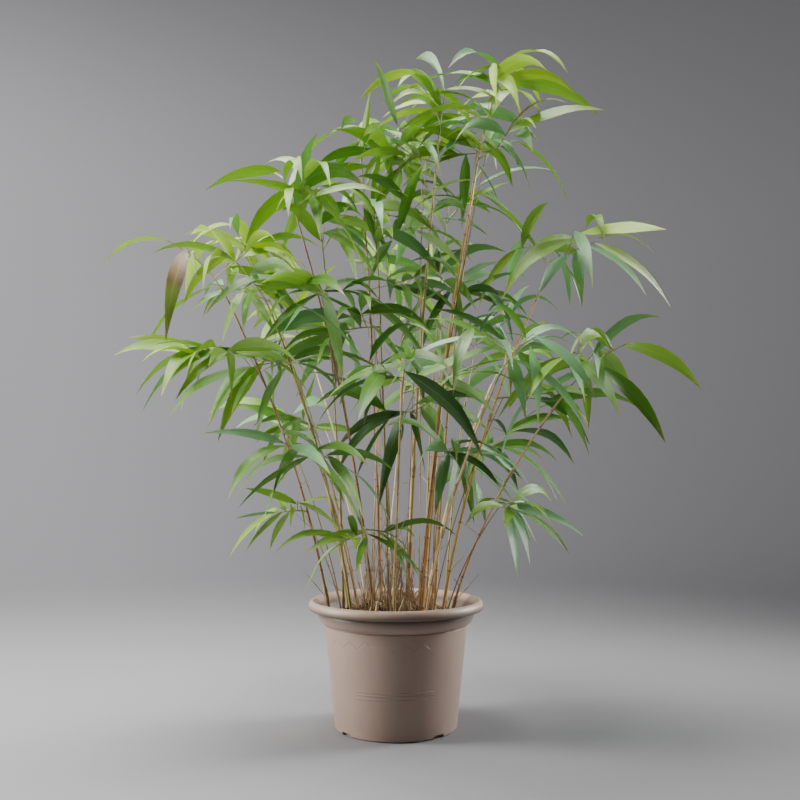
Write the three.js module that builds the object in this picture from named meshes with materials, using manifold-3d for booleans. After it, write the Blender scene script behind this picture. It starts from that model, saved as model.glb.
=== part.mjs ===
// A clump of broad-leaved bamboo in a round plastic planter.
// Millimetres, +Z up; the origin is the middle of the pot's flat underside, and the front is -Y.
import * as THREE from "three";
import { mergeVertices } from "three/addons/utils/BufferGeometryUtils.js";
import Module from "manifold-3d";

const wasm = await Module();
wasm.setup();

const UP = new THREE.Vector3(0, 0, 1);
const DEGREE = Math.PI / 180;
const SLIVER = 0.01;

// Planter: radii and heights of a 35 cm pot.
const POT_HEIGHT = 250;
const RIM_RADIUS = 175;
const MOUTH_RADIUS = 167;
const BASE_RADIUS = 121.5;
const BODY_TOP_RADIUS = 142.5;
const COLLAR_FOOT_RADIUS = 145;
const COLLAR_TOP_RADIUS = 161;
const STEP_HEIGHT = 204;
const STEP_SLOPE = 2.5;
const LIP_UNDERSIDE = 231;
const LIP_ROUNDING = 6;
const FOOT_ROUNDING = 3;
const WALL = 3;
const FLOOR = 4;
const POT_SIDES = 40;
const NOTCH = { wide: 26, tall: 7, deep: 16 };
const NOTCH_ANGLE = 47;
const NOTCH_TWIST = -4.5;

// Potting soil: a mound that fills the pot, uneven by a few millimetres.
const SOIL_EDGE_HEIGHT = 214;
const SOIL_RISE = 24;
const SOIL_UNEVEN = 2.5;
const SOIL_LUMP = [17, 23];
const SOIL_RADIUS = 146;
const SOIL_SHOULDER = 211;
const SOIL_RINGS = [0.97, 0.7, 0.35, 0];
const SOIL_SIDES = 20;

// Gaps: between neighbours that touch on the real plant, between the soil's flat sides and the round
// wall, and the least one between leaves that don't touch.
const SEAT_GAP = 0.3;
const SOIL_GAP = 0.9;
const LEAF_GAP = 0.8;

// Culms: jointed canes, each one arching away from the middle of the clump.
const FOOT_SUNK = 26;
const CULM_SIDES = 6;
const CULM_STEPS = 7;
const CULM_TIP_RADIUS = 1.7;
const CULM_BEND = { outward: 0.24, upward: 0.5 };
const SOCKET_GAP = 0.4;
const SOCKET_START = -0.001;

// Sprays: one stem, two twigs, and leaves that stand alternately along them, to either side.
const STEM_RADIUS = 1.7;
const STEM_SAG = 0.35;
const STEM_LEAVES = 5;
const TWIG_RADIUS = 1.3;
const TWIG_TAPER = 0.6;
const TWIG_SHARES = [0.3, 0.5];
const TWIG_LEAVES = 4;
const TWIG_TURN = [35, 70];
const TWIG_LIFT = [-15, 30];
const TWIG_SIZE = [0.6, 0.9];
const UPRIGHT_TURN = 1.4;
const KEPT_RISE = 0.45;

// Leaves: lance-shaped and arching. Each range is drawn from once for every try at a leaf.
const LEAF_SPAN = [0.3, 0.97];
const LEAF_TRIES = 5;
const LEAF_TURN = [30, 75];
const END_LEAF_TURN = [-15, 15];
const LEAF_LIFT = [-45, 45];
const LEAF_SIZE = [0.76, 1.16];
const LEAF_SLIMNESS = [0.11, 0.17];
const LEAF_SAG = [0.2, 1.4];
const LEAF_ROLL = [-65, 65];
const LEAF_THICKNESS = 2.2;
const LEAF_WIDEST = 0.36;
const LEAF_FREE = 0.2;

// The space that the crown keeps to.
const CROWN = { halfWidth: 612, halfDepth: 560, top: 1325, bottom: 292 };

// Each culm: foot on the soil (x, y), tip (x, y, z), thickness at the foot, the spray at its tip as
// [length of stem, length of leaf, sag of the stem], and its side sprays as
// [share of the culm's length, compass heading, rise, length of stem, length of leaf].
const CULMS = [
  {
    foot: [-128, -8], tip: [-335, -62, 845], thick: 6, end: [175, 195, 0.7],
    sides: [[0.84, 215, 14, 110, 180], [0.36, 208, 8, 60, 120]],
  },
  {
    foot: [-94, 34], tip: [-280, 65, 895], thick: 6.5, end: [150, 180, 0.6],
    sides: [[0.76, 228, 10, 90, 180], [0.96, 195, 25, 120, 180]],
  },
  {
    foot: [-84, -40], tip: [-235, -135, 800], thick: 6, end: [130, 175, 0.6],
    sides: [[0.56, 255, 5, 80, 180]],
  },
  {
    foot: [-41, -66], tip: [-185, -62, 965], thick: 5.5, end: [135, 205, 0.1],
    sides: [[0.86, 285, 0, 85, 190], [0.25, 278, -5, 60, 142]],
  },
  {
    foot: [-104, 0], tip: [-148, 10, 925], thick: 5.5, end: [130, 180, 0.5],
    sides: [],
  },
  {
    foot: [-32, 20], tip: [-70, 50, 1100], thick: 7, end: [150, 175, 0.5],
    sides: [[0.76, 330, 10, 100, 175]],
  },
  {
    foot: [-14, -48], tip: [-36, -46, 905], thick: 5.5, end: [130, 175, 0.5],
    sides: [[0.84, 195, 0, 90, 190]],
  },
  {
    foot: [22, -14], tip: [88, -20, 1188], thick: 10, end: [110, 175, 0.4],
    sides: [[0.95, 175, 22, 140, 175], [0.42, 250, 5, 80, 170]],
  },
  {
    foot: [48, -56], tip: [182, 0, 1205], thick: 12, end: [135, 200, 0.6],
    sides: [[0.95, 35, 40, 120, 185], [0.34, 325, 5, 70, 160]],
  },
  {
    foot: [56, 34], tip: [104, 135, 990], thick: 6.5, end: [140, 175, 0.5],
    sides: [[0.88, 290, 5, 80, 175], [0.42, 325, 5, 100, 170]],
  },
  {
    foot: [76, -6], tip: [168, 10, 1135], thick: 7.5, end: [120, 165, 0.6],
    sides: [],
  },
  {
    foot: [100, 44], tip: [165, 165, 730], thick: 6, end: [130, 175, 0.5],
    sides: [],
  },
  {
    foot: [86, -56], tip: [300, -25, 885], thick: 7, end: [160, 190, 0.8],
    sides: [[0.66, 345, 5, 100, 175]],
  },
  {
    foot: [104, -22], tip: [325, -110, 655], thick: 6, end: [150, 200, 0.5],
    sides: [[0.53, 330, 0, 45, 150]],
  },
  {
    foot: [-60, 92], tip: [-205, 325, 775], thick: 6, end: [140, 180, 0.7],
    sides: [[0.7, 160, 10, 110, 175]],
  },
  {
    foot: [0, 104], tip: [18, 345, 900], thick: 6.5, end: [140, 180, 0.7],
    sides: [[0.72, 60, 10, 110, 175]],
  },
  {
    foot: [60, 90], tip: [225, 310, 710], thick: 6, end: [140, 180, 0.7],
    sides: [[0.7, 20, 10, 110, 175]],
  },
  {
    foot: [-4, -104], tip: [10, -262, 610], thick: 5, end: [130, 175, 0.6],
    sides: [],
  },
  {
    foot: [52, -98], tip: [175, -275, 660], thick: 5, end: [130, 175, 0.6],
    sides: [],
  },
];

const COLOURS = { pot: 0x8f7f73, soil: 0x3a2c22, culm: 0xb59a5c, leaf: 0x5f9438 };

// Evenly spread numbers from 0 to 1, the same ones on every run.
function seeded(seed) {
  let state = seed * 7919;
  return () => {
    state = (state * 16807) % 2147483647;
    return state / 2147483647;
  };
}

function between([low, high], random) {
  return low + (high - low) * random();
}

function heading(angle, rise) {
  const level = Math.cos(rise * DEGREE);
  return new THREE.Vector3(
    level * Math.cos(angle * DEGREE),
    level * Math.sin(angle * DEGREE),
    Math.sin(rise * DEGREE),
  );
}

// A limb or leaf's midline: it starts along one direction, ends along another, and stays in one
// upright plane.
class Midline {
  constructor(start, bend, end, compass) {
    this.start = start;
    this.bend = bend;
    this.end = end;
    this.side = new THREE.Vector3(-Math.sin(compass), Math.cos(compass), 0);
  }

  point(share) {
    return this.start.clone().multiplyScalar((1 - share) ** 2)
      .addScaledVector(this.bend, 2 * share * (1 - share))
      .addScaledVector(this.end, share ** 2);
  }

  direction(share) {
    const early = this.bend.clone().sub(this.start).multiplyScalar(1 - share);
    const late = this.end.clone().sub(this.bend).multiplyScalar(share);
    return early.add(late).normalize();
  }
}

// A midline of some length from a start, which sags towards the ground on its outer half.
function sagging(start, direction, length, sag) {
  const bend = start.clone().addScaledVector(direction, length / 2);
  const outer = direction.clone().addScaledVector(UP, -sag).normalize();
  const end = bend.clone().addScaledVector(outer, length / 2);
  return new Midline(start, bend, end, Math.atan2(direction.y, direction.x));
}

// Another direction, turned by some degrees of compass from this one and raised or lowered.
// The steeper the limb, the wider the turn, so that leaves stand all round an upright stem.
function turned(direction, turn, lift) {
  const compass = Math.atan2(direction.y, direction.x) / DEGREE;
  const rise = Math.asin(direction.z) / DEGREE;
  const wider = 1 + UPRIGHT_TURN * Math.abs(direction.z);
  return heading(compass + wider * turn, KEPT_RISE * rise + lift);
}

function solid(geometry) {
  const bare = new THREE.BufferGeometry().setAttribute("position", geometry.getAttribute("position"));
  const merged = mergeVertices(bare.setIndex(geometry.index), 1e-4);
  return new wasm.Manifold(
    new wasm.Mesh({
      numProp: 3,
      vertProperties: merged.getAttribute("position").array,
      triVerts: new Uint32Array(merged.index.array),
    }),
  );
}

// A lathed bar laid along a midline. The profile gives its sections as [radius, share of the length];
// wide and deep scale each section, and roll turns it.
function barAlong(midline, profile, sides, wide, deep, roll = 0) {
  const first = profile[0][1];
  const last = profile.at(-1)[1];
  const outline = [[0, first], ...profile, [0, last]].map((section) => new THREE.Vector2(...section));
  const bar = new THREE.LatheGeometry(outline, sides);
  const at = bar.getAttribute("position");
  for (let i = 0; i < at.count; i++) {
    const share = at.getY(i);
    const direction = midline.direction(share);
    const across = midline.side.clone().applyAxisAngle(direction, roll);
    const under = new THREE.Vector3().crossVectors(across, direction);
    const place = midline.point(share)
      .addScaledVector(across, wide * at.getX(i))
      .addScaledVector(under, deep * at.getZ(i));
    at.setXYZ(i, place.x, place.y, place.z);
  }
  return solid(bar);
}

function rod(midline, footRadius, tipRadius, sides, shares) {
  const profile = shares.map((share) => [footRadius + (tipRadius - footRadius) * share, share]);
  return barAlong(midline, profile, sides, 1, 1);
}

// A lance-shaped leaf with a keel under its midrib, from some share of its length to its tip.
function leafSolid(leaf, from = 0) {
  const narrow = from / LEAF_WIDEST;
  const halfWidth = leaf.width / 2 / Math.sin(120 * DEGREE);
  const profile = [[narrow, from], [1, LEAF_WIDEST], [0, 1]];
  return barAlong(leaf.midline, profile, 3, halfWidth, LEAF_THICKNESS / 1.5, leaf.roll);
}

function potSolid() {
  const outline = new THREE.Path();
  outline.moveTo(0, 0);
  outline.lineTo(BASE_RADIUS - FOOT_ROUNDING, 0);
  outline.lineTo(BASE_RADIUS, FOOT_ROUNDING);
  outline.lineTo(BODY_TOP_RADIUS, STEP_HEIGHT - STEP_SLOPE);
  outline.lineTo(COLLAR_FOOT_RADIUS, STEP_HEIGHT);
  outline.lineTo(COLLAR_TOP_RADIUS, LIP_UNDERSIDE);
  outline.lineTo(RIM_RADIUS - LIP_ROUNDING, LIP_UNDERSIDE);
  outline.quadraticCurveTo(RIM_RADIUS, LIP_UNDERSIDE, RIM_RADIUS, LIP_UNDERSIDE + LIP_ROUNDING);
  outline.quadraticCurveTo(RIM_RADIUS, POT_HEIGHT - WALL, MOUTH_RADIUS, POT_HEIGHT);
  outline.lineTo(MOUTH_RADIUS - WALL, POT_HEIGHT - WALL / 2);
  outline.lineTo(COLLAR_TOP_RADIUS - WALL, LIP_UNDERSIDE);
  outline.lineTo(COLLAR_FOOT_RADIUS - WALL, STEP_HEIGHT);
  outline.lineTo(BODY_TOP_RADIUS - WALL, STEP_HEIGHT - STEP_SLOPE);
  outline.lineTo(BASE_RADIUS - WALL, FLOOR);
  outline.lineTo(0, FLOOR);
  let pot = solid(new THREE.LatheGeometry(outline.getPoints(2), POT_SIDES).rotateX(Math.PI / 2));
  for (const side of [-NOTCH_ANGLE, NOTCH_ANGLE, 180 - NOTCH_ANGLE, 180 + NOTCH_ANGLE]) {
    const notch = new THREE.BoxGeometry(NOTCH.wide, NOTCH.deep, 2 * NOTCH.tall);
    notch.translate(0, -BASE_RADIUS, 0);
    notch.rotateZ((side + NOTCH_TWIST) * DEGREE);
    pot = pot.subtract(solid(notch));
  }
  return pot;
}

function soilHeight(x, y) {
  const mound = SOIL_RISE * (1 - (x * x + y * y) / SOIL_RADIUS ** 2);
  const lumps = Math.sin(x / SOIL_LUMP[0]) * Math.cos(y / SOIL_LUMP[1]);
  return SOIL_EDGE_HEIGHT + mound + SOIL_UNEVEN * lumps;
}

// The soil fills the pot to the wall, a gap inside it all the way up, with a socket for each culm.
function soilSolid(sockets) {
  const inset = WALL + SOIL_GAP;
  const collarSlope = (COLLAR_TOP_RADIUS - COLLAR_FOOT_RADIUS) / (LIP_UNDERSIDE - STEP_HEIGHT);
  const edge = COLLAR_FOOT_RADIUS + collarSlope * (SOIL_SHOULDER - STEP_HEIGHT) - inset;
  const outline = [
    [0, FLOOR + SEAT_GAP],
    [BASE_RADIUS - inset, FLOOR + SEAT_GAP],
    [BODY_TOP_RADIUS - inset, STEP_HEIGHT - STEP_SLOPE],
    [COLLAR_FOOT_RADIUS - inset, STEP_HEIGHT],
    [edge, SOIL_SHOULDER],
  ];
  for (const share of SOIL_RINGS) outline.push([edge * share, SOIL_EDGE_HEIGHT]);
  const mound = new THREE.LatheGeometry(outline.map((p) => new THREE.Vector2(...p)), SOIL_SIDES);
  mound.rotateX(Math.PI / 2);
  const at = mound.getAttribute("position");
  for (let i = 0; i < at.count; i++)
    if (at.getZ(i) > SOIL_SHOULDER + 1) at.setZ(i, soilHeight(at.getX(i), at.getY(i)));
  return sockets.reduce((soil, socket) => soil.subtract(socket), solid(mound));
}

function culmMidline(culm) {
  const [x, y] = culm.foot;
  const foot = new THREE.Vector3(x, y, soilHeight(x, y) - FOOT_SUNK);
  const tip = new THREE.Vector3(...culm.tip);
  const span = tip.clone().sub(foot);
  const { outward, upward } = CULM_BEND;
  const bend = span.clone().multiply(new THREE.Vector3(outward, outward, upward)).add(foot);
  return new Midline(foot, bend, tip, Math.atan2(span.y, span.x));
}

function culmSolid(culm, midline, spare = 0) {
  const shares = Array.from({ length: CULM_STEPS + 1 }, (_, i) => i / CULM_STEPS);
  if (spare) shares[0] = SOCKET_START;
  return rod(midline, culm.thick / 2 + spare, CULM_TIP_RADIUS + spare, CULM_SIDES, shares);
}

// Where a spray's stem starts: clear of the culm's side, or of its cut tip, by the seat gap.
function stemStart(culm, midline, share, direction) {
  const along = midline.direction(share);
  const start = midline.point(share);
  if (share === 1) return start.addScaledVector(along, SEAT_GAP);
  const radius = culm.thick / 2 + (CULM_TIP_RADIUS - culm.thick / 2) * share;
  const slant = direction.dot(along);
  const outward = direction.clone().addScaledVector(along, -slant).normalize();
  return start.addScaledVector(outward, radius + SEAT_GAP + STEM_RADIUS * Math.abs(slant));
}

// The stems of a culm's sprays, the one at its tip first.
function stemsOf(culm, midline, number) {
  const rows = [[1, 0, 0, ...culm.end], ...culm.sides];
  return rows.map(([share, compass, rise, length, leafLength, sag = STEM_SAG], i) => {
    const direction = share === 1 ? midline.direction(1) : heading(compass, rise);
    const start = stemStart(culm, midline, share, direction);
    return {
      name: `foliage_${number}_${"abc"[i]}`,
      seed: number * 10 + i,
      midline: sagging(start, direction, length, sag),
      length,
      leafLength,
    };
  });
}

// Where leaf number i of a stem or twig stands, as a share of its length.
function leafShare(i, count) {
  const [first, last] = LEAF_SPAN;
  return first + ((last - first) * (i + 1)) / count;
}

// The leaves of one stem or twig, each as a few tries at its place: the first that fits is kept.
function leavesAlong(midline, count, leafLength, random) {
  const leaves = [];
  for (let i = 0; i < count; i++) {
    const last = i === count - 1;
    const share = leafShare(i, count);
    const side = i % 2 ? -1 : 1;
    const tries = [];
    for (let n = 0; n < LEAF_TRIES; n++) {
      const turn = side * between(last ? END_LEAF_TURN : LEAF_TURN, random);
      const lift = between(LEAF_LIFT, random);
      const length = leafLength * between(LEAF_SIZE, random);
      const width = length * between(LEAF_SLIMNESS, random);
      const sag = between(LEAF_SAG, random);
      const roll = between(LEAF_ROLL, random) * DEGREE;
      const direction = turned(midline.direction(share), turn, lift);
      tries.push({ midline: sagging(midline.point(share), direction, length, sag), width, roll });
    }
    leaves.push(tries);
  }
  return leaves;
}

// The rule of every spray: its stem, two twigs to either side, and the leaves on all three.
function branchesOf(stem) {
  const random = seeded(stem.seed);
  const branches = [{ leaves: leavesAlong(stem.midline, STEM_LEAVES, stem.leafLength, random) }];
  for (const [i, share] of TWIG_SHARES.entries()) {
    const side = i % 2 ? -1 : 1;
    const turn = side * between(TWIG_TURN, random);
    const direction = turned(stem.midline.direction(share), turn, between(TWIG_LIFT, random));
    const length = stem.length * between(TWIG_SIZE, random);
    const midline = sagging(stem.midline.point(share), direction, length, 0);
    branches.push({ midline, leaves: leavesAlong(midline, TWIG_LEAVES, stem.leafLength, random) });
  }
  return branches;
}

// A stem has a section wherever a leaf or twig is rooted, so that each root lies inside it.
function stemSolid(stem) {
  const shares = [0, TWIG_SHARES[0]];
  for (let i = 0; i < STEM_LEAVES - 1; i++) shares.push(leafShare(i, STEM_LEAVES));
  return rod(stem.midline, STEM_RADIUS, STEM_RADIUS * TWIG_TAPER, 3, [...shares, 1]);
}

function boxesMeet(a, b) {
  return [0, 1, 2].every((i) => a.min[i] - LEAF_GAP <= b.max[i] && b.min[i] - LEAF_GAP <= a.max[i]);
}

function clearOf(piece, obstacles) {
  const box = piece.boundingBox();
  return obstacles.every(
    (other) => !boxesMeet(box, other.boundingBox()) || piece.minGap(other, 2 * LEAF_GAP) >= LEAF_GAP,
  );
}

function insideCrown(point) {
  const across = (point.x / CROWN.halfWidth) ** 2 + (point.y / CROWN.halfDepth) ** 2;
  return across <= 1 && point.z <= CROWN.top && point.z >= CROWN.bottom;
}

// A leaf must not hang back over its own widest place: its tip lies ahead of it, as seen from there.
function opensOut(midline) {
  const beyond = midline.end.clone().sub(midline.point(LEAF_WIDEST));
  return beyond.dot(midline.direction(LEAF_WIDEST)) > 0;
}

// One mass of foliage: whatever would touch a neighbour or leave the crown is skipped, the rest is fused.
function foliageSolid(stem, stemPiece, obstacles) {
  const kept = [stemPiece];
  const outerParts = [];
  const fits = (leaf) =>
    insideCrown(leaf.midline.end) &&
    opensOut(leaf.midline) &&
    clearOf(leafSolid(leaf), obstacles) &&
    clearOf(leafSolid(leaf, LEAF_FREE), outerParts);
  for (const branch of branchesOf(stem)) {
    if (branch.midline) {
      const twig = rod(branch.midline, TWIG_RADIUS, TWIG_RADIUS * TWIG_TAPER, 3, [0, 1]);
      if (!clearOf(twig, [...obstacles, ...outerParts])) continue;
      kept.push(twig);
    }
    for (const tries of branch.leaves) {
      const leaf = tries.find(fits);
      if (!leaf) continue;
      kept.push(leafSolid(leaf));
      outerParts.push(leafSolid(leaf, LEAF_FREE));
    }
  }
  const fused = wasm.Manifold.union(kept).simplify(SLIVER);
  return fused.decompose().sort((a, b) => b.volume() - a.volume())[0];
}

function meshOf(name, shape, colour, roughness) {
  const made = shape.getMesh();
  const geometry = new THREE.BufferGeometry();
  geometry.setAttribute("position", new THREE.BufferAttribute(new Float32Array(made.vertProperties), 3));
  geometry.setIndex(new THREE.BufferAttribute(new Uint32Array(made.triVerts), 1));
  geometry.computeVertexNormals();
  const material = new THREE.MeshStandardMaterial({ color: colour, roughness, metalness: 0 });
  const mesh = new THREE.Mesh(geometry, material);
  mesh.name = name;
  return mesh;
}

const group = new THREE.Group();

const midlines = CULMS.map(culmMidline);
const canes = CULMS.map((culm, i) => culmSolid(culm, midlines[i]));
const sockets = CULMS.map((culm, i) => culmSolid(culm, midlines[i], SOCKET_GAP));
const pot = potSolid();
const soil = soilSolid(sockets);
group.add(meshOf("pot", pot, COLOURS.pot, 0.55));
group.add(meshOf("soil", soil, COLOURS.soil, 0.95));
canes.forEach((cane, i) => group.add(meshOf(`culm_${i + 1}`, cane, COLOURS.culm, 0.5)));

const stems = CULMS.flatMap((culm, i) => stemsOf(culm, midlines[i], i + 1));
const stemPieces = stems.map(stemSolid);
const grown = [];
stems.forEach((stem, i) => {
  const others = stemPieces.filter((piece, j) => j > i);
  const mass = foliageSolid(stem, stemPieces[i], [pot, soil, ...canes, ...grown, ...others]);
  grown.push(mass);
  group.add(meshOf(stem.name, mass, COLOURS.leaf, 0.6));
});

export default group;
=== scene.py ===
# A clump of broad-leaved bamboo in a round plastic planter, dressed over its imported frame.
# Metres, +Z up, front at -Y; the origin is the middle of the planter's flat underside.
import math

import bmesh
import bpy
import numpy as np
from mathutils import Matrix, Vector, noise
from mathutils.kdtree import KDTree


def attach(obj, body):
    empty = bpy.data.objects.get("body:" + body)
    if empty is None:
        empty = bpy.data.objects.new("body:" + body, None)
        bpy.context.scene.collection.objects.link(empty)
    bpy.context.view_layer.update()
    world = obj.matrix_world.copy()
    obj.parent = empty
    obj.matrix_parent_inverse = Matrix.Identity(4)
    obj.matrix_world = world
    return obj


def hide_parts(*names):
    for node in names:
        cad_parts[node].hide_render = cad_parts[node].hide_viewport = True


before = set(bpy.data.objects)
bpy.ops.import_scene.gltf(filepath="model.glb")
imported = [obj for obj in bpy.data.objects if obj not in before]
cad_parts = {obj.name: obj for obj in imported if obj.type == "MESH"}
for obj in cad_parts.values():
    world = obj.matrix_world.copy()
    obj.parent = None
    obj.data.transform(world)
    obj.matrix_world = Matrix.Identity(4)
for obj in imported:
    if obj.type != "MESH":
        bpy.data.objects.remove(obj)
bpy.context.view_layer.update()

# Studio: a wide pale floor that curves up all round into a backdrop, soft boxes at both sides,
# overhead and aimed at the backdrop, and a camera nearly two metres in front, half a metre up and
# tipped up by a few degrees.
CAMERA_PLACE = (0.008, -1.895, 0.5114)
CAMERA_TIP = math.radians(4.2)
CAMERA_LENS = 41.85
FLOOR_RADIUS = 2.4
SWEEP_RADIUS = 2.2
SWEEP_HEIGHT = 4.3
SWEEP_STEPS = 14
FLOOR_STEPS = 96
FLOOR_GREY = (0.24, 0.237, 0.247, 1)
FLOOR_ROUGHNESS = 0.7
ROOM_GREY = (0.97, 0.98, 1.0, 1)
ROOM_STRENGTH = 0.17
MERGED_WITHIN = 1e-5


def in_scene(name, data):
    """A new object of the scene, at its origin."""
    made = bpy.data.objects.new(name, data)
    bpy.context.scene.collection.objects.link(made)
    return made


optics = bpy.data.cameras.new("camera")
optics.lens = CAMERA_LENS
camera = in_scene("camera", optics)
camera.location = CAMERA_PLACE
camera.rotation_euler = (math.pi / 2 + CAMERA_TIP, 0, 0)
bpy.context.scene.camera = camera


def soft_box(name, place, target, size, spread, power, colour):
    light = bpy.data.lights.new(name, "AREA")
    light.shape = "RECTANGLE"
    light.size, light.size_y = size
    light.spread = math.radians(spread)
    light.energy = power
    light.color = colour
    box = in_scene(name, light)
    box.location = place
    box.rotation_euler = (Vector(target) - Vector(place)).to_track_quat("-Z", "Y").to_euler()


soft_box("left_box", (-2.3, -0.12, 1.25), (0, 0, 0.6), (0.8, 1.8), 180, 116, (1.0, 0.985, 0.96))
soft_box("right_box", (2.3, 0.8, 1.5), (0, 0, 0.75), (0.9, 1.8), 60, 19, (0.97, 0.985, 1.0))
soft_box("top_box", (-0.6, 0.1, 2.9), (-0.3, -0.1, 0.0), (1.5, 1.5), 80, 37, (1.0, 0.995, 0.98))
soft_box("wall_box", (-1.8, 1.6, 2.5), (-1.3, 4.6, 0.9), (1.6, 1.6), 180, 122, (1.0, 1.0, 1.0))

room = bpy.data.worlds.new("room")
room.use_nodes = True
daylight = room.node_tree.nodes["Background"].inputs
daylight["Color"].default_value = ROOM_GREY
daylight["Strength"].default_value = ROOM_STRENGTH
bpy.context.scene.world = room


def spun(outline, steps):
    """A shape turned on the upright axis from an outline of (radius, height) points."""
    shape = bmesh.new()
    corners = [shape.verts.new((radius, 0, height)) for radius, height in outline]
    edges = [shape.edges.new(pair) for pair in zip(corners, corners[1:])]
    bmesh.ops.spin(
        shape, geom=corners + edges, cent=(0, 0, 0), axis=(0, 0, 1), angle=2 * math.pi,
        steps=steps, use_merge=True,
    )
    bmesh.ops.remove_doubles(shape, verts=shape.verts, dist=MERGED_WITHIN)
    bmesh.ops.recalc_face_normals(shape, faces=shape.faces)
    return shape


def mesh_of(name, shape):
    """The mesh of a bmesh, which is freed."""
    mesh = bpy.data.meshes.new(name)
    shape.to_mesh(mesh)
    shape.free()
    return mesh


sweep = [(0.0, 0.0)]
for i in range(SWEEP_STEPS + 1):
    turn = math.pi / 2 * i / SWEEP_STEPS
    rise = SWEEP_RADIUS * (1 - math.cos(turn))
    sweep.append((FLOOR_RADIUS + SWEEP_RADIUS * math.sin(turn), rise))
sweep.append((FLOOR_RADIUS + SWEEP_RADIUS, SWEEP_HEIGHT))
floor_mesh = mesh_of("floor", spun(sweep, FLOOR_STEPS))
floor_mesh.shade_smooth()
floor_paint = bpy.data.materials.new("floor_paint")
floor_paint.use_nodes = True
paint = floor_paint.node_tree.nodes["Principled BSDF"].inputs
paint["Base Color"].default_value = FLOOR_GREY
paint["Roughness"].default_value = FLOOR_ROUGHNESS
floor_mesh.materials.append(floor_paint)
in_scene("floor", floor_mesh)

# Planter: taupe injection-moulded plastic, 35 cm over its rolled rim, with a stepped collar under
# the rim, three fine ribs low on the front, and four drain notches under its foot. The top of the
# lip is painted paler as a painted highlight, the collar under it is painted darker as a painted
# shadow, and a faint, broken zigzag marks the wall below the collar.
MM = 0.001
POT_HEIGHT = 250 * MM
RIM_RADIUS = 175 * MM
MOUTH_RADIUS = 167 * MM
BASE_RADIUS = 121.5 * MM
BODY_TOP_RADIUS = 142.5 * MM
COLLAR_FOOT_RADIUS = 145 * MM
COLLAR_TOP_RADIUS = 161 * MM
STEP_HEIGHT = 204 * MM
STEP_SLOPE = 2.5 * MM
COLLAR_BULGE = (156.5 * MM, 222 * MM)
COLLAR_BEND = (155.5 * MM, 209 * MM)
NECK_RADIUS = 152.5 * MM
NECK_BEND = (156.5 * MM, 228 * MM)
GROOVE_DEPTH = 1.8 * MM
GROOVE_HEIGHT = 3.6 * MM
LIP_UNDERSIDE = 231 * MM
LIP_ROUNDING = 6 * MM
FOOT_ROUNDING = 3 * MM
WALL = 3 * MM
FLOOR = 4 * MM
POT_STEPS = 180
LIP_STEPS = 8
CORNER_ROUNDING = 0.7 * MM
CORNER_SEGMENTS = 3
CORNER_ANGLE = math.radians(12)
SMOOTH_BELOW = math.radians(38)
NOTCH = (26 * MM, 16 * MM, 14 * MM)
NOTCH_TURNS = (-51.5, 42.5, 128.5, 222.5)
RIB_HEIGHTS = (80 * MM, 87 * MM, 93 * MM)
RIB_RADIUS = 0.9 * MM
RIB_HALF_TURN = math.radians(35)
RIB_SIDES = 8
RIB_STEPS = 60
ZIGZAG_HEIGHTS = (171.6 * MM, 184.8 * MM)
ZIGZAG_PEAKS = 24
ZIGZAG_TURN = math.radians(8.5)
ZIGZAG_WIDTH = 1.0 * MM
# Painted highlight: the heights over which the top of the lip is painted paler.
LIP_HIGHLIGHT_HEIGHTS = (236 * MM, 246 * MM)
# Painted shadow: the heights over which the collar under the lip is painted darker.
UNDER_LIP_SHADOW_HEIGHTS = (209 * MM, 226 * MM)
TAUPE = (0.372, 0.262, 0.205, 1)
TAUPE_PALE = (0.45, 0.345, 0.285, 1)
TAUPE_DARK = (0.292, 0.202, 0.156, 1)
# Painted highlight: the pale colour painted on the top of the lip.
TAUPE_LIT = (0.56, 0.41, 0.315, 1)
# Painted shadow: the dark colour painted on the collar under the lip.
TAUPE_SHADOWED = (0.12, 0.086, 0.066, 1)


class Wire:
    """An output of a material's node. Arithmetic on it adds Math nodes."""

    def __init__(self, tree, socket):
        self.tree = tree
        self.socket = socket

    def calculated(self, operation, *values, clamp=False):
        node = self.tree.nodes.new("ShaderNodeMath")
        node.operation = operation
        node.use_clamp = clamp
        for entry, value in zip(node.inputs, values):
            join(self.tree, entry, value)
        return Wire(self.tree, node.outputs[0])

    def __add__(self, other):
        return self.calculated("ADD", self, other)

    def __sub__(self, other):
        return self.calculated("SUBTRACT", self, other)

    def __rsub__(self, other):
        return self.calculated("SUBTRACT", other, self)

    def __mul__(self, other):
        return self.calculated("MULTIPLY", self, other)

    def __abs__(self):
        return self.calculated("ABSOLUTE", self)

    __radd__ = __add__
    __rmul__ = __mul__

    def clamped(self):
        return self.calculated("ADD", self, 0.0, clamp=True)

    def wave(self):
        return self.calculated("SINE", self)


def join(tree, entry, value):
    if isinstance(value, Wire):
        tree.links.new(value.socket, entry)
    else:
        entry.default_value = value


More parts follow.
